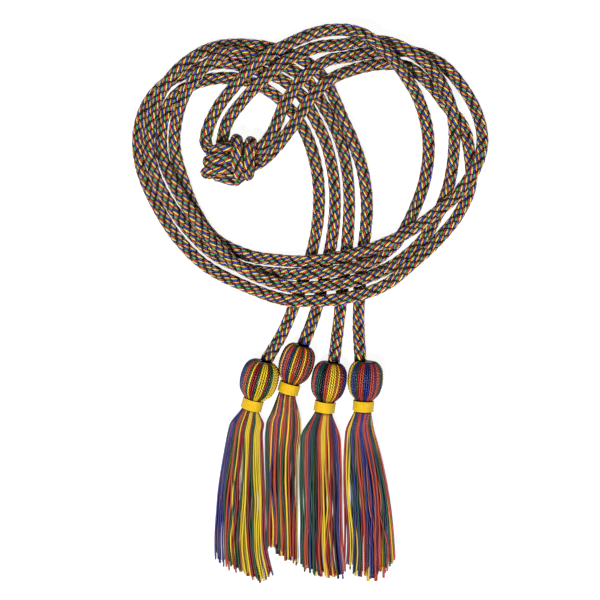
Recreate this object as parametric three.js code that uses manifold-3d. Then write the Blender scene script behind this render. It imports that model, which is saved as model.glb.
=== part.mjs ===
import * as THREE from 'three';
import { mergeVertices } from 'three/addons/utils/BufferGeometryUtils.js';
import Module from 'manifold-3d';

// An honor cord: two braided cords joined by one knot, laid flat in loose coils, with a bound tassel
// on each of the four ends. Millimetres, +Z up, the surface it lies on at z = 0, and the origin on
// that surface below the middle of the whole.

const wasm = await Module();
wasm.setup();

// Fits
const clearance = 0.3;
const sliver = 0.03; // edges shorter than this are closed up after a join or a cut

// Braided cord
const cordDiameter = 6.3;
const cordSides = 8;
const stackGap = 0.2;
const stepsPerPoint = 1.5;

// Joining knot: a core with turns of the cord round it
const knotPlace = new THREE.Vector2(-40.5, 70);
const knotLength = 28;
const knotGirth = 25;
const coreInset = 1.9;
const coreSides = 16;
const coreRows = 10;
const turnSteps = 18;

// One row for each turn. axis: the direction that the turn goes round. at: its place along that
// axis, as a share of half the knot. reach: its outer radius, as a share of half the girth.
// shift: how far its middle lies along the length, as a share of half the length. lean: degrees.
const knotTurns = [
  { axis: 'x', at: 0.34, reach: 1.0, shift: 0, lean: 4 },
  { axis: 'x', at: 0.78, reach: 0.9, shift: 0, lean: -5 },
  { axis: 'y', at: 0.34, reach: 0.82, shift: 0.02, lean: 6 },
  { axis: 'y', at: -0.08, reach: 0.9, shift: -0.12, lean: 3 },
  { axis: 'y', at: -0.46, reach: 0.84, shift: -0.25, lean: 10 },
  { axis: 'y', at: -0.76, reach: 0.62, shift: -0.04, lean: -14 },
];

// Tassels: a head of folded yarn, a neck with a thread band wound round it, and a skirt of locks
const headDiameter = 17.2;
const headLength = 20.4;
const headRibs = 10;
const ribDepth = 0.5;
const headDip = 8;
const entryDepth = 0.8;
const neckDiameter = 8.8;
const bandLength = 5.4;
const bandWall = 0.7;
const bandRounding = bandWall / 3;
const bandSides = 20;
const neckTail = 4;
const skirtLength = 82.5;
const lockWidth = 6.5;
const lockHeight = 3.4;
const lockOverlap = 1.3;
const layerHeight = 2.4;
const neckFan = 0.55 * neckDiameter; // how wide the locks' middles lie at the neck
const neckLayer = 0.7 * layerHeight;
const hemRise = 0.4 * lockHeight;

// One row for each tassel, from left to right. cord: the cord that it hangs on. entry: the way from
// the cord's end to the head's middle. lean: the way of the head's axis. Both are degrees from
// straight down the page. girth and length: shares of the head's diameter and the skirt's length.
// leftEase and rightEase: how soon the skirt reaches its full spread on that side.
const tassels = [
  { cord: 'cord_2', entry: -20, lean: -16, girth: 1.1, length: 1.0, leftEase: 4, rightEase: 5 },
  { cord: 'cord_4', entry: -20, lean: -17, girth: 1.0, length: 1.0, leftEase: 9, rightEase: 3 },
  { cord: 'cord_3', entry: -15, lean: -9, girth: 1.02, length: 0.965, leftEase: 8, rightEase: 8 },
  { cord: 'cord_1', entry: 15, lean: -4, girth: 1.02, length: 0.99, leftEase: 9, rightEase: 1.8 },
];

// The skirts lie side by side, each between two of these lines at its hem.
const hemLines = [-48, -22.5, -5.5, 16.5, 42.5];

// Head sections from the cord's end down. along: share of the head's length. radius: share of the
// head's radius.
const headSections = [
  { along: 0, radius: 0.5 },
  { along: 0.06, radius: 0.74 },
  { along: 0.2, radius: 0.94 },
  { along: 0.43, radius: 1 },
  { along: 0.64, radius: 0.97 },
  { along: 0.82, radius: 0.84 },
  { along: 0.94, radius: 0.64 },
];

// Lock sections from the neck to the hem. along: share of the skirt's length. width and height:
// shares of the lock's size at its hem. rise: share of the neck's height that is left.
const lockSections = [
  { along: 0.015, width: 0.5, height: 1.5, rise: 1 },
  { along: 0.05, width: 0.58, height: 1.45, rise: 0.85 },
  { along: 0.12, width: 0.7, height: 1.35, rise: 0.6 },
  { along: 0.3, width: 0.85, height: 1.2, rise: 0.22 },
  { along: 0.6, width: 0.95, height: 1.05, rise: 0.04 },
  { along: 1, width: 1, height: 1, rise: 0 },
];
const lockLengths = [0.95, 0.985, 1, 0.97, 0.99, 0.96, 1];
const lockSides = 6;

// Cord routes, hand chosen, from the knot to the tassel: x and y in mm, and the level above the
// surface, 0 where the cord lies on it and 1 where it lies on one cord.
const routes = {
  cord_1: [
    [-48.5, 72.5, 1.2], [-52, 79, 0.75], [-47, 94, 0.5], [-34.5, 109.5, 1.05], [-23, 120, 1.4],
    [2, 133, 0.45], [15.5, 134.5, 0.75], [26, 131.5, 1.6], [33, 126.5, 1.85], [40.5, 120, 1.45],
    [47.5, 111.5, 0.75], [54.5, 100, 0.05], [59.25, 80, 0], [56.5, 56.5, 0], [43.5, 29, 0],
    [37, 23.25, 0.35], [30.5, 19, 0.85], [13.5, 14.5, 1.45], [-3, 13, 1.4], [-17.5, 13.5, 0.1],
    [-32, 15.75, 0], [-48.5, 23.25, 0], [-64.5, 40, 0.1], [-76.5, 60, 0.65], [-80.5, 79, 0.55],
    [-77.75, 94.5, 0.75], [-72, 106.5, 1.05], [-62.5, 117.25, 0.85], [-48.5, 126.25, 0.05],
    [-26, 127.25, 0], [-4.5, 120.75, 0], [6.5, 111.5, 0], [12, 101, 0.2], [15.75, 91, 0.75],
    [20.75, 80.5, 0.5], [26, 66, 0.05], [28.5, 46.5, 0], [25.5, 15, 0], [24.25, -10, 0.06],
    [25, -30.5, 1],
  ],
  cord_2: [
    [-44, 76.5, 1.05], [-41.5, 88, 0.6], [-34, 98.5, 0.7], [-23, 109.5, 1.1], [-11, 119.25, 1.1],
    [2.5, 125.5, 0.75], [16, 127.5, 0.35], [28.5, 129, 0.7], [40, 127.75, 0.95], [51, 122.5, 1.05],
    [60.5, 114.75, 0.9], [66.5, 105, 1], [70.75, 92.5, 1.05], [72, 77.5, 0.3], [68.75, 55, 0],
    [57.5, 31.5, 0], [45.5, 20, 0.05], [37, 15, 0.35], [25.5, 10.5, 1.1], [10, 7.5, 1.05],
    [-7, 6.25, 1.2], [-22.5, 10.25, 0.9], [-36.5, 17.5, 1.05], [-49.25, 30, 1.1], [-60, 44.5, 1],
    [-69, 60, 0.6], [-74.25, 74.5, 0], [-73, 92, 0], [-66.5, 103, 0], [-53, 109.75, 0],
    [-36.5, 110.75, 0], [-23, 106, 0], [-10.5, 96, 0], [-2, 83, 0], [3.5, 64, 0], [4.25, 43.5, 0],
    [0.5, 22, 0], [-6, 2.5, 0], [-13.5, -16, 0.06], [-22, -30.5, 1],
  ],
  cord_3: [
    [-29, 72, 1.4], [-24, 75.5, 1.6], [-18.5, 83, 1.4], [-12.5, 97.5, 1.1], [-3.5, 110.25, 1.1],
    [8, 118.75, 0.85], [20, 121.75, 0.2], [31, 124, 0], [43, 125, 0], [55.5, 123, 0], [67, 117, 0],
    [76, 107, 0], [83.5, 93.5, 0.05], [86, 79.5, 0.4], [82.5, 66.5, 1.05], [74, 53.5, 0.95],
    [63.5, 44, 1], [50.5, 34.75, 1.05], [34, 26.75, 1.3], [17, 21.75, 1.05], [0, 19.25, 1.15],
    [-16, 20, 0.15], [-31.5, 22.5, 0], [-47.5, 30.75, 0], [-57, 44, 0], [-63.5, 60, 0],
    [-67.75, 76, 0], [-66.5, 91, 0.25], [-61.75, 103, 1], [-53, 115, 1.15], [-41, 123, 0.9],
    [-27.5, 121.25, 0.5], [-13, 117.25, 0], [-1, 109.25, 0], [6, 98.5, 0], [12.5, 86.5, 0],
    [17, 73, 0], [19.5, 54, 0], [18.75, 30, 0], [15.75, 1, 0.03], [11.75, -31, 1],
  ],
  cord_4: [
    [-29, 66.5, 0.9], [-24, 69, 0.75], [-16.5, 76.5, 0.8], [-8.5, 86.75, 1.05], [-1, 98.25, 1.05],
    [9, 108.75, 1.1], [21.5, 115, 0.2], [35.5, 118, 0], [49, 116.5, 0], [59.5, 108.25, 0],
    [68.5, 97, 0], [76.75, 86.5, 0], [80, 71.5, 0], [80.25, 56.5, 0], [74, 42.5, 0.15],
    [64, 30.5, 0.75], [51, 18.25, 0.85], [37, 7.25, 0.95], [18, 1, 1.1], [0, -0.5, 1.1],
    [-11.5, 0, 0.9], [-24, 3.5, 0.1], [-50.5, 16, 0], [-65, 29.5, 0], [-76, 46, 0],
    [-83.75, 64, 0], [-86, 81, 0], [-82.5, 96, 0], [-73.75, 107.25, 0], [-60.5, 114.25, 0],
    [-44.5, 118.75, 0], [-29.5, 116, 0], [-15, 110.75, 0], [-4.5, 102.5, 0], [2, 91.5, 0],
    [8, 78.5, 0], [12, 59.5, 0], [12, 39, 0], [8, 15, 0], [2.75, -6, 0.06], [-3.5, -22.5, 1],
  ],
};

const cordRadius = cordDiameter / 2;
const knotRadius = knotGirth / 2;
const radians = THREE.MathUtils.degToRad;

const cordMaterial = { color: 0x8a6f45, roughness: 0.55, metalness: 0 };
const tasselMaterial = { color: 0x6a3f55, roughness: 0.5, metalness: 0 };
const bandMaterial = { color: 0xf2c81a, roughness: 0.45, metalness: 0 };

// A route that never sinks into the surface. Its steps follow its chosen points, so that they are
// closer in the tighter bends.
class CordPath extends THREE.CatmullRomCurve3 {
  getPoint(t, target) {
    const point = super.getPoint(t, target);
    point.z = Math.max(point.z, cordRadius);
    return point;
  }

  getPointAt(u, target) {
    return this.getPoint(u, target);
  }

  getTangentAt(u, target) {
    return this.getTangent(u, target);
  }
}

function cordPath(route) {
  const points = route.map(([x, y, level]) => {
    return new THREE.Vector3(x, y, cordRadius + level * (cordDiameter + stackGap));
  });
  return new CordPath(points);
}

function ring(sides, radius) {
  const corners = [];
  for (let i = 0; i < sides; i += 1) {
    const angle = ((i + 0.5) / sides) * 2 * Math.PI;
    corners.push(new THREE.Vector2(radius * Math.cos(angle), radius * Math.sin(angle)));
  }
  return new THREE.Shape(corners);
}

function cordTube(path, radius) {
  const steps = Math.round((path.points.length - 1) * stepsPerPoint);
  return new THREE.ExtrudeGeometry(ring(cordSides, radius), { steps, extrudePath: path });
}

// A closed skin through rings of the same number of points, each running the same way round.
function skin(rings) {
  const sides = rings[0].length;
  const last = (rings.length - 1) * sides;
  const positions = rings.flat().flatMap((point) => [point.x, point.y, point.z]);
  const index = [];
  for (let row = 0; row < last; row += sides) {
    for (let i = 0; i < sides; i += 1) {
      const next = (i + 1) % sides;
      index.push(row + i, row + next, row + sides + i);
      index.push(row + next, row + sides + next, row + sides + i);
    }
  }
  for (let i = 1; i < sides - 1; i += 1) {
    index.push(0, i + 1, i);
    index.push(last, last + i, last + i + 1);
  }
  const geometry = new THREE.BufferGeometry();
  geometry.setAttribute('position', new THREE.Float32BufferAttribute(positions, 3));
  geometry.setIndex(index);
  return geometry;
}

function toSolid(geometry) {
  const bare = geometry.clone();
  bare.deleteAttribute('normal');
  bare.deleteAttribute('uv');
  const merged = mergeVertices(bare, 1e-4);
  return new wasm.Manifold(new wasm.Mesh({
    numProp: 3,
    vertProperties: new Float32Array(merged.attributes.position.array),
    triVerts: new Uint32Array(merged.index.array),
  }));
}

function fromSolid(solid) {
  const mesh = solid.simplify(sliver).getMesh();
  const geometry = new THREE.BufferGeometry();
  geometry.setAttribute('position', new THREE.BufferAttribute(mesh.vertProperties, 3));
  geometry.setIndex(new THREE.BufferAttribute(mesh.triVerts, 1));
  geometry.computeVertexNormals();
  return geometry;
}

function joined(geometries) {
  return geometries.map(toSolid).reduce((whole, piece) => whole.add(piece));
}

// Leaves room for a cord that runs into a solid: the cord with its clearance is cut out of it, and
// once more moved by the clearance past the cord's end.
function withEntry(solid, path, end) {
  const room = cordTube(path, cordRadius + clearance);
  const outward = path.getTangent(end).multiplyScalar(end === 0 ? -clearance : clearance);
  const past = room.clone().translate(outward.x, outward.y, outward.z);
  return solid.subtract(toSolid(room)).subtract(toSolid(past));
}

function namedMesh(name, geometry, look) {
  const mesh = new THREE.Mesh(geometry, new THREE.MeshStandardMaterial(look));
  mesh.name = name;
  return mesh;
}

function knotTurn({ axis, at, reach, shift, lean }) {
  const middle = reach * knotRadius - cordRadius;
  const turn = new THREE.TorusGeometry(middle, cordRadius, cordSides, turnSteps);
  if (axis === 'x') {
    turn.rotateY(Math.PI / 2);
    turn.rotateZ(radians(lean));
    return turn.translate((at + shift) * (knotLength / 2), 0, 0);
  }
  turn.rotateX(Math.PI / 2);
  turn.rotateZ(radians(lean));
  return turn.translate(shift * (knotLength / 2), at * knotRadius, 0);
}

function joiningKnot(paths) {
  const core = new THREE.SphereGeometry(1, coreSides, coreRows);
  core.scale(knotLength / 2 - coreInset, knotRadius - coreInset, knotRadius - coreInset);
  const pieces = [core, ...knotTurns.map(knotTurn)];
  pieces.forEach((piece) => piece.translate(knotPlace.x, knotPlace.y, knotRadius));
  const knot = paths.reduce((solid, path) => withEntry(solid, path, 0), joined(pieces));
  return namedMesh('joining_knot', fromSolid(knot), cordMaterial);
}

// The lean of a head: its axis runs down the page, dips towards the surface and leans to one side.
function headPose(tassel, path) {
  const end = path.points.at(-1);
  const radius = (headDiameter / 2) * tassel.girth;
  const reach = headLength / 2 - entryDepth;
  const turn = new THREE.Matrix4().makeRotationZ(radians(tassel.lean));
  turn.multiply(new THREE.Matrix4().makeRotationX(radians(headDip)));
  const centre = new THREE.Vector3(
    end.x + reach * Math.sin(radians(tassel.entry)),
    end.y - reach * Math.cos(radians(tassel.entry)),
    radius,
  );
  return { centre, radius, matrix: turn.setPosition(centre) };
}

function tasselHead(pose) {
  const rows = headSections.map(({ along, radius }) => {
    return { y: headLength * (0.5 - along), radius: radius * pose.radius, rib: ribDepth };
  });
  const neckRadius = neckDiameter / 2;
  rows.push({ y: -headLength / 2, radius: neckRadius, rib: 0 });
  rows.push({ y: -headLength / 2 - bandLength - neckTail, radius: neckRadius, rib: 0 });
  const sides = 2 * headRibs;
  const rings = rows.map(({ y, radius, rib }) => {
    return Array.from({ length: sides }, (_, i) => {
      const angle = (i / sides) * 2 * Math.PI;
      const reach = i % 2 ? radius - rib : radius;
      return new THREE.Vector3(reach * Math.cos(angle), y, reach * Math.sin(angle));
    });
  });
  return skin(rings).applyMatrix4(pose.matrix);
}

// One lock of a skirt. place: 0 at the left of the skirt and 1 at its right. layer: 0 or 1.
function lock(neck, tassel, span, place, layer, count, length) {
  const width = (span.width / count) * lockOverlap;
  const hemX = span.left + width / 2 + place * (span.width - width) - neck.x;
  const ease = THREE.MathUtils.lerp(tassel.leftEase, tassel.rightEase, place);
  const neckX = (place - 0.5) * neckFan;
  const hemZ = layerHeight * layer + hemRise;
  const neckZ = neck.z + (layer - 0.5) * neckLayer;
  const rings = lockSections.map((section) => {
    const spread = 1 - (1 - section.along) ** ease;
    const middle = THREE.MathUtils.lerp(neckX, hemX, spread);
    const z = THREE.MathUtils.lerp(hemZ, neckZ, section.rise);
    const turn = radians(tassel.lean) * section.rise;
    return Array.from({ length: lockSides }, (_, i) => {
      const angle = (i / lockSides) * 2 * Math.PI;
      const across = middle + (width / 2) * section.width * Math.cos(angle);
      const point = new THREE.Vector2(across, -section.along * length);
      point.rotateAround(new THREE.Vector2(), turn);
      return new THREE.Vector3(
        neck.x + point.x,
        neck.y + point.y,
        z + (lockHeight / 2) * section.height * Math.sin(angle),
      );
    });
  });
  return skin(rings);
}

function skirtLocks(neck, tassel, index) {
  const left = hemLines[index] + clearance / 2;
  const span = { left, width: hemLines[index + 1] - clearance / 2 - left };
  const count = Math.max(2, Math.round(span.width / lockWidth));
  const locks = [];
  for (const layer of [0, 1]) {
    const inLayer = count - layer;
    for (let i = 0; i < inLayer; i += 1) {
      const place = (i + layer / 2) / (count - 1);
      const share = lockLengths[(locks.length + index) % lockLengths.length];
      const length = skirtLength * tassel.length * share;
      locks.push(lock(neck, tassel, span, place, layer, count, length));
    }
  }
  return locks;
}

function tasselBody(name, tassel, index, path, pose) {
  const neckEnd = -headLength / 2 - bandLength - clearance;
  const neck = new THREE.Vector3(0, neckEnd, 0).applyMatrix4(pose.matrix);
  const body = joined([tasselHead(pose), ...skirtLocks(neck, tassel, index)]);
  const flat = body.trimByPlane([0, 0, 1], 0);
  return namedMesh(name, fromSolid(withEntry(flat, path, 1)), tasselMaterial);
}

function tasselBand(name, pose) {
  const inner = neckDiameter / 2 + clearance;
  const outer = inner + bandWall;
  const half = bandLength / 2;
  const rim = outer - bandRounding;
  const profile = [
    [inner, -half], [rim, -half], [outer, -half / 2], [outer, half / 2],
    [rim, half], [inner, half], [inner, -half],
  ].map(([x, y]) => new THREE.Vector2(x, y));
  const band = new THREE.LatheGeometry(profile, bandSides);
  band.translate(0, -headLength / 2 - clearance - half, 0);
  return namedMesh(name, band.applyMatrix4(pose.matrix), bandMaterial);
}

const group = new THREE.Group();
const paths = Object.fromEntries(Object.entries(routes).map(([name, route]) => {
  return [name, cordPath(route)];
}));

group.add(joiningKnot(Object.values(paths)));
for (const [name, path] of Object.entries(paths)) {
  group.add(namedMesh(name, cordTube(path, cordRadius), cordMaterial));
}
tassels.forEach((tassel, index) => {
  const name = `tassel_${index + 1}`;
  const path = paths[tassel.cord];
  const pose = headPose(tassel, path);
  group.add(tasselBody(name, tassel, index, path, pose));
  group.add(tasselBand(`${name}_band`, pose));
});

export default group;
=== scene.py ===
import math

import bpy
import numpy as np
from mathutils import Matrix, Vector


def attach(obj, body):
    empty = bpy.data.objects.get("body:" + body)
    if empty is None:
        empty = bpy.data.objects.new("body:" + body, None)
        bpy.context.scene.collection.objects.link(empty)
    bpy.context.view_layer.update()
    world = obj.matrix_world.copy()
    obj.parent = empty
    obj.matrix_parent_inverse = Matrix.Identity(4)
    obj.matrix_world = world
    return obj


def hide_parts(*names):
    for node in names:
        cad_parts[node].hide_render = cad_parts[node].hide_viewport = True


# An honor cord: two braided cords joined by one knot, laid flat in loose coils, with a bound yarn
# tassel on each of the four ends. Metres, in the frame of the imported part, seen from straight above.

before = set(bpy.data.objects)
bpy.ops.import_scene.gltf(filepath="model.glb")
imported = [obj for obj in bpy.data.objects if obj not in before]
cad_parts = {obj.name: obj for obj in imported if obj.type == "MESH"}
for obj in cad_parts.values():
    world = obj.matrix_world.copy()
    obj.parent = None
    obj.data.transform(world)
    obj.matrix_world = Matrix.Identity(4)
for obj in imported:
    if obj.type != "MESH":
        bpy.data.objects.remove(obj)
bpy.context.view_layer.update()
mm = 0.001
up = np.array([0.0, 0.0, 1.0])


def deselectAll():
    bpy.ops.object.select_all(action="DESELECT")


# Camera, floor and light

camera = {
    "lens": 100.0,
    "sensor": 36.0,
    "middle": (-5.0 * mm, 0.0, 4.0 * mm),
    "field": 300.0 * mm,
}


def addCamera(look):
    distance = look["field"] * look["lens"] / look["sensor"]
    x, y, z = look["middle"]
    bpy.ops.object.camera_add(location=(x, y, z + distance), rotation=(0, 0, 0))
    made = bpy.context.object
    made.name = "camera"
    made.data.lens = look["lens"]
    made.data.sensor_width = look["sensor"]
    made.data.clip_start = 0.05
    made.data.clip_end = 20.0
    bpy.context.scene.camera = made


# sRGB hex colours, turned into the linear values that the shaders take
def linear(hexColour):
    channels = [int(hexColour[i : i + 2], 16) / 255 for i in (1, 3, 5)]
    bent = [c / 12.92 if c <= 0.04045 else ((c + 0.055) / 1.055) ** 2.4 for c in channels]
    return (*bent, 1.0)


def addNode(tree, kind, inputs=None, **settings):
    node = tree.nodes.new(kind)
    for key, value in settings.items():
        setattr(node, key, value)
    for key, value in (inputs or {}).items():
        if isinstance(value, bpy.types.NodeSocket):
            tree.links.new(value, node.inputs[key])
        else:
            node.inputs[key].default_value = value
    return node


def newMaterial(name):
    material = bpy.data.materials.new(name)
    material.use_nodes = True
    tree = material.node_tree
    tree.nodes.clear()
    output = addNode(tree, "ShaderNodeOutputMaterial")
    return material, tree, output


# Light table under the cord: a pale card lit from below as well, so hardly a shadow shows on it
def cardMaterial():
    material, tree, output = newMaterial("lightTable")
    place = addNode(tree, "ShaderNodeTexCoord")
    noise = addNode(tree, "ShaderNodeTexNoise", {"Vector": place.outputs["Object"], "Scale": 30.0})
    tone = addNode(
        tree,
        "ShaderNodeMix",
        {"Factor": noise.outputs["Fac"], "A": linear("#8e8e8e"), "B": linear("#949494")},
        data_type="RGBA",
    )
    shader = addNode(
        tree,
        "ShaderNodeBsdfPrincipled",
        {
            "Base Color": tone.outputs["Result"],
            "Roughness": 0.9,
            "Specular IOR Level": 0.1,
            "Emission Color": linear("#ffffff"),
            "Emission Strength": 0.88,
        },
    )
    tree.links.new(shader.outputs[0], output.inputs["Surface"])
    return material


lights = [
    {"name": "keyLight", "at": (-0.2, -0.4, 0.95), "size": 0.2, "power": 14.5},
    {"name": "fillLight", "at": (0.4, 0.45, 0.8), "size": 0.5, "power": 2.0},
]


def addStage():
    bpy.ops.mesh.primitive_plane_add(size=6.0, location=(0, 0, 0))
    floor = bpy.context.object
    floor.name = "floor"
    floor.data.materials.append(cardMaterial())
    aim = Vector(camera["middle"])
    for light in lights:
        bpy.ops.object.light_add(type="AREA", location=light["at"])
        made = bpy.context.object
        made.name = light["name"]
        made.data.size = light["size"]
        made.data.energy = light["power"]
        made.rotation_euler = (aim - Vector(light["at"])).to_track_quat("-Z", "Y").to_euler()
    world = bpy.data.worlds.new("softRoom")
    bpy.context.scene.world = world
    world.use_nodes = True
    world.node_tree.nodes["Background"].inputs["Color"].default_value = linear("#ffffff")
    world.node_tree.nodes["Background"].inputs["Strength"].default_value = 0.15
    bpy.context.scene.view_settings.view_transform = "Standard"


addCamera(camera)
addStage()
print("stage: camera, floor and lights")


# Painted shade between the yarns
deepShade = 0.08  # a yarn's colour deep between its neighbours, as a share of its own


# Yarn material: rayon, glossy along fine twisted filaments. The surface's own map runs in mm along
# the yarn and once round it, so the filaments lie at the same slant on every yarn. crests: ridges
# round a yarn. slant: how far they turn, in radians a mm. Shade in a groove and a highlight on a
# ridge are painted, as shares of the yarn's own colour, and shade is painted between the yarns too.
# The fibres, at about 0.4 mm, are coarser than real ones so that they show.
def yarnMaterial(name, hexColour, crests=3.0, slant=7.0, rough=0.32, relief=0.5, grooveShade=0.3, ridgeHighlight=1.9):
    material, tree, output = newMaterial(name)
    ownMap = addNode(tree, "ShaderNodeUVMap", uv_map="yarn")
    parts = addNode(tree, "ShaderNodeSeparateXYZ", {"Vector": ownMap.outputs["UV"]})
    along = addNode(
        tree,
        "ShaderNodeMath",
        {0: parts.outputs["X"], 1: slant, 2: math.pi / 2},
        operation="MULTIPLY_ADD",
    )
    phase = addNode(
        tree,
        "ShaderNodeMath",
        {0: parts.outputs["Y"], 1: crests * 2 * math.pi, 2: along.outputs[0]},
        operation="MULTIPLY_ADD",
    )
    ridge = addNode(tree, "ShaderNodeMath", {0: phase.outputs[0]}, operation="SINE")
    place = addNode(tree, "ShaderNodeTexCoord")
    fibre = addNode(
        tree,
        "ShaderNodeTexNoise",
        {"Vector": place.outputs["Object"], "Scale": 2600.0, "Detail": 2.0},
    )
    patch = addNode(
        tree,
        "ShaderNodeTexNoise",
        {"Vector": place.outputs["Object"], "Scale": 90.0, "Detail": 2.0},
    )
    height = addNode(
        tree,
        "ShaderNodeMath",
        {0: fibre.outputs["Fac"], 1: 0.8, 2: ridge.outputs[0]},
        operation="MULTIPLY_ADD",
    )
    bump = addNode(
        tree,
        "ShaderNodeBump",
        {"Height": height.outputs[0], "Strength": relief, "Distance": 0.1 * mm},
    )
    colour = linear(hexColour)[:3]
    # Lit and shaded copies of the yarn's colour: raised for a painted highlight on a ridge, dimmed for
    # painted shade in a groove and, deep down, for painted shade between yarns
    lift = min(ridgeHighlight, 1 / max(colour))  # no channel passes white, so the hue stays
    hollowShade = [c * deepShade for c in colour] + [1.0]
    dark = [c * grooveShade for c in colour] + [1.0]
    light = [c * lift for c in colour] + [1.0]
    # Painted highlight on the ridges and painted shade in the grooves, with slow random patches of tone
    # over them
    spread = addNode(
        tree,
        "ShaderNodeMapRange",
        {"Value": ridge.outputs[0], "From Min": -1.0, "From Max": 0.5, "To Min": 0.0, "To Max": 0.75},
    )
    blend = addNode(
        tree,
        "ShaderNodeMath",
        {0: patch.outputs["Fac"], 1: 0.45, 2: spread.outputs["Result"]},
        operation="MULTIPLY_ADD",
    )
    tone = addNode(
        tree,
        "ShaderNodeMix",
        {"Factor": blend.outputs[0], "A": dark, "B": light},
        data_type="RGBA",
    )
    # Painted shade: darker between the yarns, where the neighbours close a surface in
    closeness = addNode(
        tree,
        "ShaderNodeAmbientOcclusion",
        {"Distance": 1.6 * mm, "Color": (1.0, 1.0, 1.0, 1.0)},
        samples=6,
    )
    openness = addNode(
        tree,
        "ShaderNodeMapRange",
        {"Value": closeness.outputs["AO"], "From Min": 0.25, "From Max": 0.95},
    )
    shaded = addNode(
        tree,
        "ShaderNodeMix",
        {"Factor": openness.outputs["Result"], "A": hollowShade, "B": tone.outputs["Result"]},
        data_type="RGBA",
    )
    roughness = addNode(
        tree,
        "ShaderNodeMapRange",
        {"Value": fibre.outputs["Fac"], "To Min": rough - 0.08, "To Max": rough + 0.12},
    )
    shader = addNode(
        tree,
        "ShaderNodeBsdfPrincipled",
        {
            "Base Color": shaded.outputs["Result"],
            "Roughness": roughness.outputs["Result"],
            "Normal": bump.outputs["Normal"],
            "Specular IOR Level": 0.3,
            "Sheen Weight": 0.02,
            "Sheen Roughness": 0.3,
        },
    )
    tree.links.new(shader.outputs[0], output.inputs["Surface"])
    return material


# Centreline through given points, the same curve that the part's cords follow
def smoothLine(points, steps):
    points = np.asarray(points, float)
    first = 2 * points[0] - points[1]
    last = 2 * points[-1] - points[-2]
    p = np.vstack([first, points, last])
    gaps = np.sqrt(np.linalg.norm(np.diff(p, axis=0), axis=1))
    t = np.linspace(0, 1, steps, endpoint=False)[:, None]
    rows = []
    for i in range(len(points) - 1):
        before, here, after = gaps[i : i + 3]
        a, b, c, d = p[i : i + 4]
        leave = ((b - a) / before - (c - a) / (before + here) + (c - b) / here) * here
        arrive = ((c - b) / here - (d - b) / (here + after) + (d - c) / after) * here
        rows.append(
            (2 * t**3 - 3 * t**2 + 1) * b
            + (t**3 - 2 * t**2 + t) * leave
            + (3 * t**2 - 2 * t**3) * c
            + (t**3 - t**2) * arrive
        )
    return np.vstack([*rows, points[-1:]])


def unit(vectors):
    return vectors / np.maximum(np.linalg.norm(vectors, axis=-1, keepdims=True), 1e-12)


# A line's points and lengths, and a frame that turns as little as it can, to place things round it
class Course:
    def __init__(self, points, start=up):
        self.points = np.asarray(points, float)
        steps = np.linalg.norm(np.diff(self.points, axis=0), axis=1)
        self.at = np.concatenate([[0], np.cumsum(steps)])
        self.length = float(self.at[-1])
        self.tangents = unit(np.gradient(self.points, axis=0))
        normal = start
        normals = []
        for tangent in self.tangents:
            normal = unit(normal - np.dot(normal, tangent) * tangent)
            normals.append(normal)
        self.normals = np.array(normals)

    def along(self, values, s):
        return np.stack([np.interp(s, self.at, values[:, i]) for i in range(3)], axis=-1)

    def place(self, s, angle, radius):
        s = np.clip(s, 0, self.length)
        middle = self.along(self.points, s)
        tangent = unit(self.along(self.tangents, s))
        normal = unit(self.along(self.normals, s))
        side = np.cross(tangent, normal)
        out = np.cos(angle)[..., None] * normal + np.sin(angle)[..., None] * side
        return middle + np.asarray(radius)[..., None] * out, out


floorGap = 0.01 * mm

# Sections of a yarn, in half widths and half heights, the same way round
ridgeSection = [(1.0, -0.45), (0.0, 1.0), (-1.0, -0.45)]
plySection = [(1.0, 0.0), (0.0, 1.0), (-1.0, 0.0), (0.0, -1.0)]


def roundSection(sides):
    turns = [2 * math.pi * i / sides for i in range(sides)]
    return [(math.cos(turn), math.sin(turn)) for turn in turns]


# Closed tubes along many paths of as many points. The first axis of each array is the tube.
def tubes(paths, outs, widths, heights, section, slots, turns=None):
    count, stations, _ = paths.shape
    sides = len(section)
    ahead = unit(np.gradient(paths, axis=1))
    across = unit(np.cross(ahead, outs))
    out = np.cross(across, ahead)
    flat = np.array(section)
    x = widths[..., None] * flat[:, 0]
    y = heights[..., None] * flat[:, 1]
    if turns is not None:
        cosines = np.cos(turns)[..., None]
        sines = np.sin(turns)[..., None]
        x, y = x * cosines - y * sines, x * sines + y * cosines
    sideways = across[:, :, None, :] * x[..., None]
    outwards = out[:, :, None, :] * y[..., None]
    points = paths[:, :, None, :] + sideways + outwards
    station = np.arange(stations - 1)[:, None]
    side = np.arange(sides)[None, :]
    beside = (side + 1) % sides
    corners = [
        station * sides + side,
        (station + 1) * sides + side,
        (station + 1) * sides + beside,
        station * sides + beside,
    ]
    oneTube = np.stack(corners, axis=-1).reshape(-1, 4)
    firsts = np.arange(count)[:, None, None] * stations * sides
    walls = (oneTube[None] + firsts).reshape(-1, 4)
    lastRing = (stations - 1) * sides
    ends = np.stack([np.arange(sides), lastRing + np.arange(sides)[::-1]])
    caps = (ends[None] + firsts).reshape(-1, sides)
    steps = np.linalg.norm(np.diff(paths, axis=1), axis=2) / mm
    lengths = np.concatenate([np.zeros((count, 1)), np.cumsum(steps, axis=1)], axis=1)
    low = np.broadcast_to(lengths[:, :-1, None], (count, stations - 1, sides))
    high = np.broadcast_to(lengths[:, 1:, None], (count, stations - 1, sides))
    near = np.broadcast_to(side / sides, low.shape)
    far = np.broadcast_to((side + 1) / sides, low.shape)
    maps = np.stack([low, near, high, near, high, far, low, far], axis=-1).reshape(-1, 2)
    capMaps = np.zeros((2 * count * sides, 2))
    wallSlots = np.repeat(slots, (stations - 1) * sides)
    capSlots = np.repeat(slots, 2)
    return {
        "points": points.reshape(-1, 3),
        "walls": walls,
        "caps": caps,
        "maps": maps,
        "capMaps": capMaps,
        "wallSlots": wallSlots,
        "capSlots": capSlots,
    }


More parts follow.
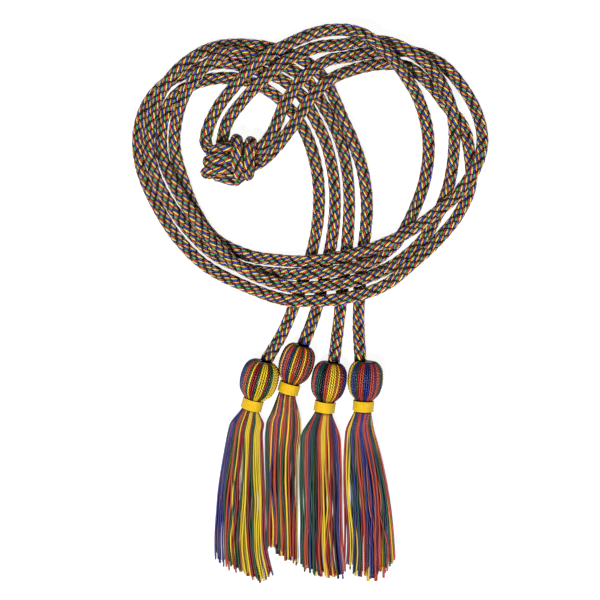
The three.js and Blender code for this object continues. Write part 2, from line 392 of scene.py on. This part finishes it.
# One mesh of many tubes. A yarn that would dip through the floor is pressed flat just above it.
def meshPiece(name, groups, materials):
    points = []
    faces = []
    maps = []
    slots = []
    first = 0
    for group in groups:
        points.append(group["points"])
        faces += (group["walls"] + first).tolist() + (group["caps"] + first).tolist()
        maps += [group["maps"], group["capMaps"]]
        slots += [group["wallSlots"], group["capSlots"]]
        first += len(group["points"])
    points = np.vstack(points)
    points[:, 2] = np.maximum(points[:, 2], floorGap)
    mesh = bpy.data.meshes.new(name)
    mesh.from_pydata(points.tolist(), [], faces)
    for material in materials:
        mesh.materials.append(material)
    mesh.polygons.foreach_set("material_index", np.concatenate(slots).astype(np.int32))
    mesh.polygons.foreach_set("use_smooth", np.ones(len(mesh.polygons), bool))
    layer = mesh.uv_layers.new(name="yarn")
    layer.data.foreach_set("uv", np.vstack(maps).astype(np.float32).ravel())
    mesh.update()
    piece = bpy.data.objects.new(name, mesh)
    bpy.context.scene.collection.objects.link(piece)
    return piece


# Braid: four ribbons of six coloured ends, whose floats spread between narrow ribbons of black
# ends that cross them. Rows of floats rise round the cord, one colour in each column.
braid = {
    "diameter": 6.3 * mm,
    "rowGap": 5.2 * mm,
    "columns": 24,
    "coloursRound": 6,
    "floatSlant": math.radians(27),
    "floatLength": 4.35 * mm,
    "floatWidth": 1.28 * mm,
    "floatHeight": 0.66 * mm,
    "floatDip": 0.85 * mm,
    "lengthShares": [0.78, 0.96, 1.03, 1.03, 0.96, 0.76],
    "widthShares": [1.2, 0.86, 1.1, 0.92, 1.08, 0.86],
    "lifts": [-0.14 * mm, 0.02 * mm, 0.15 * mm, 0.13 * mm, 0.04 * mm, -0.12 * mm],
    "blackEnds": 4,
    "blackWidth": 0.36 * mm,
    "blackSpacing": 0.17 * mm,
    "blackSpread": 0.38 * mm,
    "blackRadius": 2.82 * mm,
    "blackStep": 1.3 * mm,
    "zigzag": 0.3,  # share of a column
    "coreRadius": 2.5 * mm,
    "coreStep": 2.2 * mm,
    "coreSides": 10,
    "endMargin": 0.9 * mm,
    "slowTwist": 0.9,  # radians to and fro
    "slowTwistLength": 190 * mm,
    "quickTwist": 0.22,  # radians to and fro
    "quickTwistLength": 64 * mm,
    "placeJitter": 0.07 * mm,
    "turnJitter": 0.025,
    "liftJitter": 0.03 * mm,
    "lengthJitter": (0.93, 1.06),
    "widthJitter": (0.94, 1.06),
}

# Each with painted shade in its grooves and between the yarns, and painted highlights on its ridges
braidMaterials = [
    yarnMaterial("greenRayon", "#3f9c57"),
    yarnMaterial("redRayon", "#c22c3e"),
    yarnMaterial("paleYellowRayon", "#f2e06a"),
    yarnMaterial("royalBlueRayon", "#2638a8"),
    yarnMaterial("goldenOrangeRayon", "#f0a83a"),
    yarnMaterial("purpleRayon", "#5c3a86"),
    yarnMaterial("blackRayon", "#0c0a0a", rough=0.4),
    yarnMaterial("brownRayon", "#3d2c24", rough=0.4),
]
blackSlot = 6
brownSlot = 7
floatStations = np.array([-1, -0.7, 0, 0.7, 1])


def braidGroups(course, reverse, seed):
    chance = np.random.default_rng(seed)
    radius = braid["diameter"] / 2
    gap = braid["rowGap"]
    columns = braid["columns"]
    colours = braid["coloursRound"]
    phases = chance.uniform(0, 2 * math.pi, 3)

    def twist(s):
        slow = braid["slowTwist"] * np.sin(2 * math.pi * s / braid["slowTwistLength"] + phases[0])
        quick = braid["quickTwist"] * np.sin(2 * math.pi * s / braid["quickTwistLength"] + phases[1])
        return slow + quick + phases[2]

    rows = np.arange(-columns // colours - 1, int(course.length / gap) + 2)
    row, column = np.meshgrid(rows, np.arange(columns), indexing="ij")
    row = row.ravel()
    column = column.ravel()
    middle = gap * (row + column / colours) + chance.normal(0, braid["placeJitter"], len(row))
    inside = (middle > braid["endMargin"]) & (middle < course.length - braid["endMargin"])
    middle = middle[inside]
    column = column[inside]
    sidestep = np.where(row[inside] % 2 == 0, 1, -1) * braid["zigzag"]
    slot = column % colours
    if reverse:
        slot = colours - 1 - slot
    share = np.array(braid["lengthShares"])[slot] * chance.uniform(*braid["lengthJitter"], len(slot))
    half = (braid["floatLength"] / 2 * share)[:, None] * floatStations
    s = middle[:, None] + half * math.cos(braid["floatSlant"])
    turn = 2 * math.pi / columns * (column + sidestep)
    turn = turn + chance.normal(0, braid["turnJitter"], len(column))
    angle = turn[:, None] + twist(s) - half * math.sin(braid["floatSlant"]) / radius
    crown = radius - braid["floatDip"] * np.abs(floatStations) ** 4  # the ends tuck under
    lift = np.array(braid["lifts"])[slot] + chance.normal(0, braid["liftJitter"], len(slot))
    height = braid["floatHeight"] / 2
    paths, outs = course.place(s, angle, crown - height + lift[:, None])
    slim = 1 - 0.5 * np.abs(floatStations) ** 3
    wide = np.array(braid["widthShares"])[slot] * chance.uniform(*braid["widthJitter"], len(slot))
    widths = braid["floatWidth"] / 2 * slim * wide[:, None]
    heights = np.full(s.shape, height)
    floats = tubes(paths, outs, widths, heights, ridgeSection, slot)

    # Black ends run between the rows and open out where the ribbons' edges meet
    ribbonTurn = colours / columns * 2 * math.pi
    steps = int(course.length / braid["blackStep"]) + 1
    s = np.linspace(0, course.length, steps)
    slope = math.atan2(radius * ribbonTurn, gap)
    opening = np.cos(math.pi * (s / gap - (colours - 0.5) / colours + 0.5)) ** 6
    paths = []
    outs = []
    slots = []
    for ribbon in range(columns // colours):
        for end in range(braid["blackEnds"]):
            place = end - (braid["blackEnds"] - 1) / 2
            offset = place * (braid["blackSpacing"] + braid["blackSpread"] * opening)
            shifted = s - offset * math.sin(slope)
            angle = ribbonTurn * (s / gap - 0.5 - ribbon) + twist(s)
            angle = angle + offset * math.cos(slope) / radius
            path, out = course.place(shifted, angle, np.full(steps, braid["blackRadius"]))
            paths.append(path)
            outs.append(out)
            slots.append(brownSlot if end == 1 else blackSlot)
    paths = np.array(paths)
    outs = np.array(outs)
    thick = np.full(paths.shape[:2], braid["blackWidth"] / 2)
    blacks = tubes(paths, outs, thick, thick, ridgeSection, np.array(slots))

    # A plain dark tube fills the braid
    coreSteps = int(course.length / braid["coreStep"]) + 1
    s = np.linspace(0, course.length, coreSteps)
    path, out = course.place(s, np.zeros(coreSteps), np.zeros(coreSteps))
    thick = np.full((1, coreSteps), braid["coreRadius"])
    section = roundSection(braid["coreSides"])
    core = tubes(path[None], out[None], thick, thick, section, np.array([blackSlot]))
    return [floats, blacks, core]


# Cord routes from the knot to the tassel, the same points as the part's: x and y in mm, and the
# level above the surface, 0 where the cord lies on it and 1 where it lies on one cord.
stackGap = 0.2 * mm

cords = [
    {
        "name": "cord_1",
        "reverse": False,
        "seed": 11,
        "route": [
            (-48.5, 72.5, 1.2), (-52, 79, 0.75), (-47, 94, 0.5), (-34.5, 109.5, 1.05), (-23, 120, 1.4),
            (2, 133, 0.45), (15.5, 134.5, 0.75), (26, 131.5, 1.6), (33, 126.5, 1.85), (40.5, 120, 1.45),
            (47.5, 111.5, 0.75), (54.5, 100, 0.05), (59.25, 80, 0), (56.5, 56.5, 0), (43.5, 29, 0),
            (37, 23.25, 0.35), (30.5, 19, 0.85), (13.5, 14.5, 1.45), (-3, 13, 1.4), (-17.5, 13.5, 0.1),
            (-32, 15.75, 0), (-48.5, 23.25, 0), (-64.5, 40, 0.1), (-76.5, 60, 0.65), (-80.5, 79, 0.55),
            (-77.75, 94.5, 0.75), (-72, 106.5, 1.05), (-62.5, 117.25, 0.85), (-48.5, 126.25, 0.05),
            (-26, 127.25, 0), (-4.5, 120.75, 0), (6.5, 111.5, 0), (12, 101, 0.2), (15.75, 91, 0.75),
            (20.75, 80.5, 0.5), (26, 66, 0.05), (28.5, 46.5, 0), (25.5, 15, 0), (24.25, -10, 0.06),
            (25, -30.5, 1),
        ],
    },
    {
        "name": "cord_2",
        "reverse": False,
        "seed": 23,
        "route": [
            (-44, 76.5, 1.05), (-41.5, 88, 0.6), (-34, 98.5, 0.7), (-23, 109.5, 1.1), (-11, 119.25, 1.1),
            (2.5, 125.5, 0.75), (16, 127.5, 0.35), (28.5, 129, 0.7), (40, 127.75, 0.95), (51, 122.5, 1.05),
            (60.5, 114.75, 0.9), (66.5, 105, 1), (70.75, 92.5, 1.05), (72, 77.5, 0.3), (68.75, 55, 0),
            (57.5, 31.5, 0), (45.5, 20, 0.05), (37, 15, 0.35), (25.5, 10.5, 1.1), (10, 7.5, 1.05),
            (-7, 6.25, 1.2), (-22.5, 10.25, 0.9), (-36.5, 17.5, 1.05), (-49.25, 30, 1.1), (-60, 44.5, 1),
            (-69, 60, 0.6), (-74.25, 74.5, 0), (-73, 92, 0), (-66.5, 103, 0), (-53, 109.75, 0),
            (-36.5, 110.75, 0), (-23, 106, 0), (-10.5, 96, 0), (-2, 83, 0), (3.5, 64, 0), (4.25, 43.5, 0),
            (0.5, 22, 0), (-6, 2.5, 0), (-13.5, -16, 0.06), (-22, -30.5, 1),
        ],
    },
    {
        "name": "cord_3",
        "reverse": True,
        "seed": 37,
        "route": [
            (-29, 72, 1.4), (-24, 75.5, 1.6), (-18.5, 83, 1.4), (-12.5, 97.5, 1.1), (-3.5, 110.25, 1.1),
            (8, 118.75, 0.85), (20, 121.75, 0.2), (31, 124, 0), (43, 125, 0), (55.5, 123, 0), (67, 117, 0),
            (76, 107, 0), (83.5, 93.5, 0.05), (86, 79.5, 0.4), (82.5, 66.5, 1.05), (74, 53.5, 0.95),
            (63.5, 44, 1), (50.5, 34.75, 1.05), (34, 26.75, 1.3), (17, 21.75, 1.05), (0, 19.25, 1.15),
            (-16, 20, 0.15), (-31.5, 22.5, 0), (-47.5, 30.75, 0), (-57, 44, 0), (-63.5, 60, 0),
            (-67.75, 76, 0), (-66.5, 91, 0.25), (-61.75, 103, 1), (-53, 115, 1.15), (-41, 123, 0.9),
            (-27.5, 121.25, 0.5), (-13, 117.25, 0), (-1, 109.25, 0), (6, 98.5, 0), (12.5, 86.5, 0),
            (17, 73, 0), (19.5, 54, 0), (18.75, 30, 0), (15.75, 1, 0.03), (11.75, -31, 1),
        ],
    },
    {
        "name": "cord_4",
        "reverse": True,
        "seed": 41,
        "route": [
            (-29, 66.5, 0.9), (-24, 69, 0.75), (-16.5, 76.5, 0.8), (-8.5, 86.75, 1.05), (-1, 98.25, 1.05),
            (9, 108.75, 1.1), (21.5, 115, 0.2), (35.5, 118, 0), (49, 116.5, 0), (59.5, 108.25, 0),
            (68.5, 97, 0), (76.75, 86.5, 0), (80, 71.5, 0), (80.25, 56.5, 0), (74, 42.5, 0.15),
            (64, 30.5, 0.75), (51, 18.25, 0.85), (37, 7.25, 0.95), (18, 1, 1.1), (0, -0.5, 1.1),
            (-11.5, 0, 0.9), (-24, 3.5, 0.1), (-50.5, 16, 0), (-65, 29.5, 0), (-76, 46, 0),
            (-83.75, 64, 0), (-86, 81, 0), (-82.5, 96, 0), (-73.75, 107.25, 0), (-60.5, 114.25, 0),
            (-44.5, 118.75, 0), (-29.5, 116, 0), (-15, 110.75, 0), (-4.5, 102.5, 0), (2, 91.5, 0),
            (8, 78.5, 0), (12, 59.5, 0), (12, 39, 0), (8, 15, 0), (2.75, -6, 0.06), (-3.5, -22.5, 1),
        ],
    },
]


def cordCourse(route):
    radius = braid["diameter"] / 2
    points = [
        (x * mm, y * mm, radius + level * (braid["diameter"] + stackGap)) for x, y, level in route
    ]
    line = smoothLine(points, steps=16)
    line[:, 2] = np.maximum(line[:, 2], radius)
    return Course(line)


def addCord(cord, course):
    groups = braidGroups(course, cord["reverse"], cord["seed"])
    piece = meshPiece(cord["name"] + "_braid", groups, braidMaterials)
    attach(piece, "root")
    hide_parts(cord["name"])
    return piece


courses = {}
for cord in cords:
    name = cord["name"]
    courses[name] = cordCourse(cord["route"])
    addCord(cord, courses[name])
print("cords: four braided strands")


# Joining knot: turns of the cord round a dark filling of black yarn, which stands in for the shade
# inside the knot as painted shade. axis: the direction that the turn goes round. at: its place along
# that axis, as a share of half the knot. reach: its outer radius, as a share of half the girth.
# shift: how far its middle lies along the length. lean: degrees.
knot = {
    "place": (-40.5 * mm, 70.0 * mm),
    "length": 28.0 * mm,
    "girth": 25.0 * mm,
    "inset": 3.4 * mm,
    "steps": 90,
    "fillingSteps": 11,
    "fillingSides": 20,
    "seed": 60,
    "turns": [
        {"axis": "x", "at": 0.34, "reach": 1.0, "shift": 0, "lean": 4},
        {"axis": "x", "at": 0.74, "reach": 0.9, "shift": 0, "lean": -5},
        {"axis": "y", "at": 0.34, "reach": 0.82, "shift": 0.02, "lean": 6},
        {"axis": "y", "at": -0.08, "reach": 0.9, "shift": -0.12, "lean": 3},
        {"axis": "y", "at": -0.46, "reach": 0.84, "shift": -0.25, "lean": 10},
        {"axis": "y", "at": -0.76, "reach": 0.62, "shift": -0.04, "lean": -14},
    ],
}


def turnCourse(turn):
    half = knot["girth"] / 2
    radius = turn["reach"] * half - braid["diameter"] / 2
    sweep = np.linspace(-math.pi / 2, 1.5 * math.pi, knot["steps"])
    reach = radius * np.cos(sweep)
    rise = radius * np.sin(sweep)
    lean = math.radians(turn["lean"])
    shift = turn["shift"] * knot["length"] / 2
    if turn["axis"] == "x":
        x = -reach * math.sin(lean) + turn["at"] * knot["length"] / 2 + shift
        y = reach * math.cos(lean)
    else:
        x = reach * math.cos(lean) + shift
        y = reach * math.sin(lean) + turn["at"] * half
    points = np.stack([x + knot["place"][0], y + knot["place"][1], rise + half], axis=-1)
    return Course(points, start=-up)


# Painted shade: a dark filling for the knot's shaded inside
def knotShadeFilling():
    half = knot["girth"] / 2 - knot["inset"]
    reach = knot["length"] / 2 - knot["inset"]
    share = np.sin(np.linspace(-math.pi / 2, math.pi / 2, knot["fillingSteps"]))
    x, y = knot["place"]
    path = np.array([(x + reach * t, y, knot["girth"] / 2) for t in share])
    wide = half * np.sqrt(np.maximum(1 - share**2, 0.01))[None]
    outs = np.broadcast_to(up, (1, len(share), 3))
    section = roundSection(knot["fillingSides"])
    return tubes(path[None], outs, wide, wide, section, np.array([blackSlot]))


def addKnot():
    groups = [knotShadeFilling()]
    for i, turn in enumerate(knot["turns"]):
        groups += braidGroups(turnCourse(turn), i % 2 == 1, knot["seed"] + i)
    piece = meshPiece("joining_knot_braid", groups, braidMaterials)
    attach(piece, "root")
    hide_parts("joining_knot")


addKnot()
print("knot: six turns of braid")


# Tassels: yarns folded over the cord's end in a round head, gathered in a neck and hanging as a
# skirt. The head's place and lean are the part's.
head = {
    "diameter": 17.2 * mm,
    "length": 20.4 * mm,
    "dip": math.radians(8),
    "entryDepth": 0.8 * mm,
    "neck": 8.8 * mm,
    "bandLength": 5.4 * mm,
    "gap": 0.3 * mm,
    "fillingInset": 1.5 * mm,
    "fillingLeast": 1.0 * mm,
    "fillingNeck": 2.6 * mm,
    "fillingPastBand": 3 * mm,
    "fillingSides": 20,
}

# Along the head from the cord's end, and the radius as a share of the head's
headProfile = [
    (0.2, 0.27), (0.12, 0.32), (0.06, 0.42), (0.055, 0.56), (0.1, 0.74), (0.22, 0.92), (0.43, 1.0),
    (0.64, 0.98), (0.82, 0.86), (0.94, 0.65), (1.01, 0.52),
]

# A yarn's size, the length that one turn of its plies takes, and how many yarns lie round the head
# and inside it. It is thinner where the yarns crowd: near the head's axis and in the neck.
yarn = {
    "width": 1.2 * mm,
    "height": 0.86 * mm,
    "pitch": 2.6 * mm,
    "step": 0.44 * mm,
    "longest": 117 * mm,
    "round": 24,
    "inner": 23,
    "hiddenSpread": 1.5,
    "leastReach": 0.8 * mm,
    "crowding": 1.04,
    "fullReach": 7.9 * mm,
    "neckShare": 0.6,
}

# Levels are heights at the hem. The first three are in mm: at the skirt's sides, how much more in
# its middle, and how much more again for every other yarn there.
skirt = {
    "sideLevel": 1.3,
    "middleRise": 2.5,
    "otherRise": 0.7,
    "levelJitter": 0.15 * mm,
    "underLevel": 0.55 * mm,
    "innerLevel": 1.7 * mm,
    "innerDepth": 1.6 * mm,
    "stations": (0.02, 0.08, 0.16, 0.26, 0.38, 0.52, 0.68, 0.84, 1.0),
    "sideInset": 0.1 * mm,
    "wander": 0.6 * mm,
    "swings": (5.0, 9.0),  # radians from neck to hem
    "settling": 2.6,  # power: the higher, the nearer to the neck the yarns lie flat
    "hemJitter": 1.4,  # mm
}

# Letter for a tassel's colours, material name, colour and the colour's share on its ridges, where a
# highlight is painted
yarnColours = [
    ("Y", "yellowYarn", "#f0cc20", 1.25),
    ("C", "coralYarn", "#c84626", 1.0),
    ("R", "redYarn", "#9c0c22", 0.95),
    ("G", "greenYarn", "#0e5434", 0.85),
    ("B", "blueYarn", "#202c86", 0.85),
    ("V", "violetYarn", "#38207e", 0.85),
    ("N", "navyYarn", "#0e1030", 0.7),
]
yarnLetters = [letter for letter, _, _, _ in yarnColours]
# Nearly black painted shade in the ply grooves and between the yarns, and painted highlights on the ridges
tasselMaterials = [
    yarnMaterial(name, hexColour, crests=2.0, slant=0.0, rough=0.3, relief=0.4, grooveShade=0.05, ridgeHighlight=ridgeHighlight)
    for _, name, hexColour, ridgeHighlight in yarnColours
]

# colours: the top yarns from left to right, by letter. edges: y, then the skirt's left and right
# edge, in mm. hem: share of the width, then y in mm. entry and lean: degrees. girth: the head's
# width as a share of the usual one.
tassels = [
    {
        "name": "tassel_1",
        "cord": "cord_2",
        "entry": -20,
        "lean": -16,
        "girth": 1.1,
        "colours": "BBBVGCCGYRRGYYYRGGYYYYRV",
        "edges": [
            (-60, -39.5, -22.5), (-65, -41, -23.5), (-75, -43, -23.2), (-90, -45.8, -22.5),
            (-100, -47, -22), (-115, -47.8, -22), (-122, -48, -22), (-137, -48, -18), (-140, -48, -18),
        ],
        "hem": [(0, -128.5), (0.3, -133), (0.6, -138), (0.85, -139), (1, -136)],
        "seed": 5,
    },
    {
        "name": "tassel_2",
        "cord": "cord_4",
        "entry": -20,
        "lean": -17,
        "girth": 1.0,
        "colours": "GGNCYVCCVGYCCGCYRCGNCRNB",
        "edges": [
            (-55, -19, -5.5), (-60, -21.6, -4.5), (-65, -22.4, -4.2), (-75, -22.6, -5.5),
            (-90, -22.2, -6), (-115, -22, -6), (-140, -22, -5.5),
        ],
        "hem": [(0, -122.5), (0.25, -123.5), (0.5, -127), (1, -131.5)],
        "seed": 6,
    },
    {
        "name": "tassel_3",
        "cord": "cord_3",
        "entry": -15,
        "lean": -9,
        "girth": 1.02,
        "colours": "VGGCCBGGNNCCYYYCYRRNVBRR",
        "edges": [
            (-65, -4, 14.5), (-70, -5, 15.5), (-90, -5.6, 16.3), (-115, -5, 16.5), (-125, -5, 17),
            (-140, -5, 19),
        ],
        "hem": [(0, -132.5), (0.4, -136), (0.75, -138.5), (1, -135)],
        "seed": 7,
    },
    {
        "name": "tassel_4",
        "cord": "cord_1",
        "entry": 15,
        "lean": -4,
        "girth": 1.02,
        "colours": "RRYYGBVGRCCBBBCCVCCGBGYB",
        "edges": [
            (-60, 19.5, 31), (-65, 17.6, 32), (-75, 16.8, 35), (-85, 16.6, 37.5), (-95, 16.6, 39.5),
            (-105, 16.8, 41), (-115, 17, 42), (-125, 17, 42.7), (-140, 16, 43.5),
        ],
        "hem": [(0, -130), (0.3, -137), (0.6, -138.5), (0.9, -132), (1, -129)],
        "seed": 8,
    },
]


def headPose(tassel):
    end = Vector(courses[tassel["cord"]].points[-1])
    radius = head["diameter"] / 2 * tassel["girth"]
    reach = head["length"] / 2 - head["entryDepth"]
    entry = math.radians(tassel["entry"])
    centre = Vector((end.x + reach * math.sin(entry), end.y - reach * math.cos(entry), radius))
    turn = Matrix.Rotation(math.radians(tassel["lean"]), 4, "Z") @ Matrix.Rotation(head["dip"], 4, "X")
    return {"radius": radius, "matrix": Matrix.Translation(centre) @ turn}


def posed(pose, point):
    return np.array(pose["matrix"] @ Vector(point))


# One yarn from under the cord's end, over the head, through the neck and out to the hem. Its row
# says where: share is its place across the skirt, turn its place round the head, level its height
# at the hem, and depth how far it lies inside the head.
def yarnPoints(tassel, pose, row, chance):
    share = row["share"]
    out = (math.cos(row["turn"]), math.sin(row["turn"]))
    rows = []
    wide = []
    for along, radius in headProfile:
        reach = radius * pose["radius"] - yarn["height"] / 2 - row["depth"]
        reach = max(reach, yarn["leastReach"])
        rows.append(posed(pose, (reach * out[0], head["length"] * (0.5 - along), reach * out[1])))
        wide.append(min(1.0, yarn["crowding"] * reach / yarn["fullReach"]))
    neck = head["neck"] / 2 - yarn["height"] / 2 - row["depth"] * 0.5
    below = -head["length"] / 2 - head["gap"]
    for part in (0.2, 1.0):
        y = below - part * head["bandLength"]
        start = posed(pose, (neck * out[0], y, neck * out[1]))
        rows.append(start)
        wide.append(yarn["neckShare"])
    edges = np.array(tassel["edges"]) * mm
    hem = np.array(tassel["hem"])
    finish = (np.interp(share, hem[:, 0], hem[:, 1]) + chance.normal(0, skirt["hemJitter"])) * mm
    wander = chance.normal(0, skirt["wander"], 2)
    slow, quick = skirt["swings"]
    middling = 1 - abs(2 * share - 1) ** 4  # 1 in the skirt's middle, 0 at its sides
    topY = edges[0, 0]
    for part in skirt["stations"]:
        y = topY + (finish - topY) * part
        left = np.interp(-y, -edges[:, 0], edges[:, 1]) + skirt["sideInset"]
        right = np.interp(-y, -edges[:, 0], edges[:, 2]) - skirt["sideInset"]
        sway = wander[0] * math.sin(slow * part) + wander[1] * math.sin(quick * part)
        x = left + share * (right - left) + sway * min(1.0, 2 * part) * middling
        settled = 1 - (1 - part) ** skirt["settling"]
        z = start[2] + (row["level"] - start[2]) * settled
        rows.append(np.array((x, y, z)))
        wide.append(min(1.0, 0.82 + part))
    return np.array(rows), np.array(wide)


def resample(points, values, count):
    line = smoothLine(points, steps=12)
    knots = np.linspace(0, len(points) - 1, len(line))
    spread = np.interp(knots, np.arange(len(points)), values)
    steps = np.linalg.norm(np.diff(line, axis=0), axis=1)
    at = np.concatenate([[0], np.cumsum(steps)])
    s = np.linspace(0, at[-1], count)
    path = np.stack([np.interp(s, at, line[:, i]) for i in range(3)], axis=-1)
    return path, np.interp(s, at, spread)


# Outward directions along a path that turn as little as they can
def carried(paths, starts):
    ahead = unit(np.gradient(paths, axis=1))
    out = starts
    rows = []
    for i in range(paths.shape[1]):
        tangent = ahead[:, i]
        out = unit(out - np.sum(out * tangent, axis=1, keepdims=True) * tangent)
        rows.append(out)
    return np.stack(rows, axis=1)


# Yarns that are seen are twisted. Hidden ones are plain and wider, to close the gaps between them.
def yarnGroup(tassel, pose, rows, stations, plied, chance):
    paths = []
    wides = []
    starts = []
    for row in rows:
        points, wide = yarnPoints(tassel, pose, row, chance)
        path, wide = resample(points, wide, stations)
        paths.append(path)
        wides.append(wide)
        out = Vector((math.cos(row["turn"]), 0.3, math.sin(row["turn"])))
        starts.append(np.array(pose["matrix"].to_3x3() @ out))
    paths = np.array(paths)
    paths[..., 2] = np.maximum(paths[..., 2], yarn["height"] / 2 + 0.05 * mm)
    outs = carried(paths, unit(np.array(starts)))
    steps = np.linalg.norm(np.diff(paths, axis=1), axis=2)
    lengths = np.concatenate([np.zeros((len(rows), 1)), np.cumsum(steps, axis=1)], axis=1)
    turns = None
    if plied:
        turns = lengths / yarn["pitch"] * 2 * math.pi
        turns = turns + chance.uniform(0, 2 * math.pi, (len(rows), 1))
    wides = np.array(wides)
    slots = np.array([row["slot"] for row in rows])
    widths = yarn["width"] / 2 * wides * (1.0 if plied else yarn["hiddenSpread"])
    heights = yarn["height"] / 2 * wides
    return tubes(paths, outs, widths, heights, plySection, slots, turns)


# Dark filling of the head and neck, under the inner yarns
def tasselFilling(pose):
    path = []
    wide = []
    for along, radius in headProfile[2:]:
        path.append(posed(pose, (0, head["length"] * (0.5 - along), 0)))
        wide.append(max(radius * pose["radius"] - head["fillingInset"], head["fillingLeast"]))
    below = -head["length"] / 2 - head["bandLength"] - head["fillingPastBand"]
    path.append(posed(pose, (0, below, 0)))
    wide.append(head["fillingNeck"])
    wide = np.array(wide)[None]
    outs = np.broadcast_to(up, (1, len(path), 3))
    slot = np.array([yarnLetters.index("N")])
    return tubes(np.array(path)[None], outs, wide, wide, roundSection(head["fillingSides"]), slot)


def yarnRow(share, turn, level, depth, slot):
    return {"share": share, "turn": turn, "level": level, "depth": depth, "slot": slot}


def addTassel(tassel):
    chance = np.random.default_rng(tassel["seed"])
    pose = headPose(tassel)
    count = yarn["round"]
    slots = [yarnLetters.index(letter) for letter in tassel["colours"]]
    top = []
    under = []
    inner = []
    for i in range(count):
        share = (i + 0.5) / count
        bulge = 1 - abs(2 * share - 1) ** 3
        rise = skirt["middleRise"] * bulge
        otherRise = skirt["otherRise"] * (i % 2) * bulge
        level = (skirt["sideLevel"] + rise + otherRise) * mm + chance.normal(0, skirt["levelJitter"])
        top.append(yarnRow(share, math.pi * (1 - share), level, 0.0, slots[i]))
        share = (i + 1) / (count + 1)
        slot = slots[(7 * i + 3) % count]  # the same colours in another order
        under.append(yarnRow(share, math.pi * (1 + share), skirt["underLevel"], 0.0, slot))
    for i in range(yarn["inner"]):
        share = (i + 0.5) / yarn["inner"]
        slot = slots[(5 * i + 1) % count]
        turn = math.pi * (1 - share)
        inner.append(yarnRow(share, turn, skirt["innerLevel"], skirt["innerDepth"], slot))
    fine = int(yarn["longest"] / yarn["step"])
    groups = [
        yarnGroup(tassel, pose, top, fine, True, chance),
        yarnGroup(tassel, pose, under, fine // 4, False, chance),
        yarnGroup(tassel, pose, inner, fine // 4, False, chance),
        tasselFilling(pose),
    ]
    piece = meshPiece(tassel["name"] + "_yarns", groups, tasselMaterials)
    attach(piece, "root")
    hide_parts(tassel["name"])
    return piece, pose


# Band: golden thread wound closely round the neck
band = {
    "thread": 0.56 * mm,
    "sides": 8,
    "turns": 10,
    "steps": 40,
    "pitch": 0.51 * mm,
    "radius": 5.08 * mm,
}
# Painted shade in the thread's grooves and between turns, and painted highlights on its ridges
bandMaterial = yarnMaterial(
    "goldenThread", "#e4b81e", crests=4.0, slant=9.0, rough=0.34, relief=0.6, grooveShade=0.35, ridgeHighlight=1.1
)


def addBand(tassel, pose):
    deselectAll()
    bpy.ops.mesh.primitive_circle_add(
        vertices=band["sides"],
        radius=band["thread"] / 2,
        fill_type="NGON",
        rotation=(math.pi / 2, 0, 0),
    )
    piece = bpy.context.object
    piece.name = tassel["name"] + "_band_thread"
    bpy.ops.object.transform_apply(location=True, rotation=True, scale=True)
    piece.data.transform(Matrix.Translation((band["radius"], 0, 0)))
    winding = piece.modifiers.new("winding", "SCREW")
    winding.axis = "Z"
    winding.angle = 2 * math.pi
    winding.screw_offset = band["pitch"]
    winding.iterations = band["turns"]
    winding.steps = band["steps"]
    winding.render_steps = band["steps"]
    winding.use_smooth_shade = True
    bpy.ops.object.modifier_apply(modifier=winding.name)
    height = band["pitch"] * band["turns"]
    piece.data.transform(Matrix.Translation((0, 0, -height / 2)))
    piece.data.transform(Matrix.Rotation(math.pi / 2, 4, "X"))
    along = -head["length"] / 2 - head["gap"] - head["bandLength"] / 2
    piece.data.transform(pose["matrix"] @ Matrix.Translation((0, along, 0)))
    layer = piece.data.uv_layers.new(name="yarn")
    layer.data.foreach_set("uv", np.zeros(2 * len(piece.data.loops), np.float32))
    piece.data.materials.append(bandMaterial)
    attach(piece, "root")
    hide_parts(tassel["name"] + "_band")
    return piece


for tassel in tassels:
    yarns, pose = addTassel(tassel)
    thread = addBand(tassel, pose)
print("tassels: four heads, skirts and bands")
